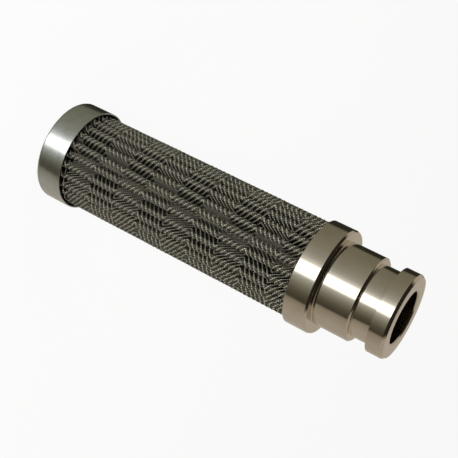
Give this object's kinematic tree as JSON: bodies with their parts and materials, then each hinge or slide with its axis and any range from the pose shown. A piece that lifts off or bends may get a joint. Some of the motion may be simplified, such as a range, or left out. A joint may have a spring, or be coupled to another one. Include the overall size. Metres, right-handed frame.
{
  "type": "hydraulic filter element",
  "caption": "Hydraulic filter element: pleated wire-mesh pack bonded between a closed drawn end cap and a turned outlet fitting with an empty seal groove.",
  "frame": {"origin": "centre of the end cap's closed outer face, on which the element stands", "axes": "+Z along the element's axis, from the end cap to the outlet face; X and Y across it, with the pictured side towards -Y"},
  "size_m": [0.045, 0.045, 0.1665],
  "materials": {
    "cap_steel": "plated sheet steel, satin",
    "fitting_steel": "plated, finely turned",
    "mesh_wire": "woven wire, dull",
    "cloth_wire": "fine woven wire, dull",
    "core_steel": "plain sheet steel",
    "adhesive": "dark cured resin"
  },
  "bodies": {
    "root": {"end_cap": "cap_steel", "cap_potting": "adhesive", "outer_mesh": "mesh_wire", "filter_cloth": "cloth_wire", "inner_mesh": "mesh_wire", "core_tube": "core_steel", "fitting_potting": "adhesive", "end_fitting": "fitting_steel"}
  },
  "joints": []
}
